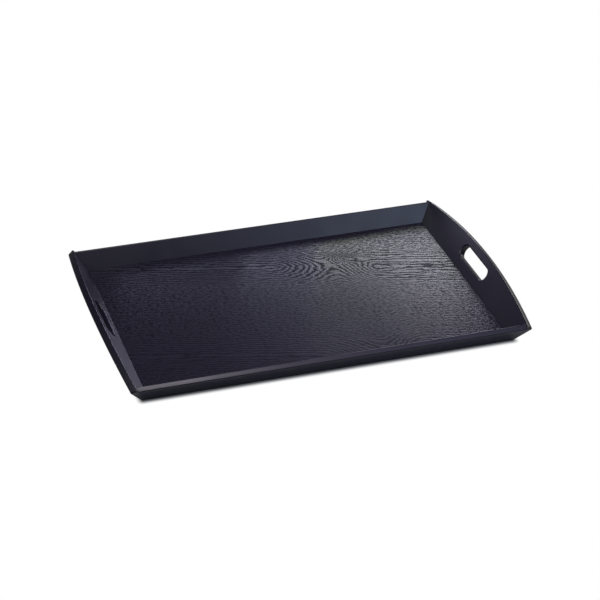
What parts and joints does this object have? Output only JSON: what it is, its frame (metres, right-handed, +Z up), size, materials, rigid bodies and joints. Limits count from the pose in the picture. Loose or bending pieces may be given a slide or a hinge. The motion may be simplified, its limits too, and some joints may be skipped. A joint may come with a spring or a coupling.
{
  "type": "wooden serving tray",
  "caption": "Black lacquered wooden serving tray with splayed walls, arched end walls with hand slots, and a grained floor panel housed in the walls.",
  "frame": {"origin": "on the table, under the middle of the tray", "axes": "+X along the tray's length towards the right end wall, +Y towards the back wall, +Z up from the table"},
  "size_m": [0.455, 0.3008, 0.0348],
  "materials": {
    "lacquered_wood": "smooth black satin lacquer",
    "lacquered_veneer": "black satin lacquer over open-pored veneer",
    "lacquered_backing": "thin black satin lacquer over backing veneer",
    "plywood": "raw",
    "dowel_wood": "raw"
  },
  "bodies": {
    "root": {"front_wall": "lacquered_wood", "back_wall": "lacquered_wood", "left_end_wall": "lacquered_wood", "right_end_wall": "lacquered_wood", "floor_face_veneer": "lacquered_veneer", "floor_core": "plywood", "floor_backing_veneer": "lacquered_backing", "front_right_lower_dowel": "dowel_wood", "front_right_upper_dowel": "dowel_wood", "back_right_lower_dowel": "dowel_wood", "back_right_upper_dowel": "dowel_wood", "back_left_lower_dowel": "dowel_wood", "back_left_upper_dowel": "dowel_wood", "front_left_lower_dowel": "dowel_wood", "front_left_upper_dowel": "dowel_wood"}
  },
  "joints": []
}
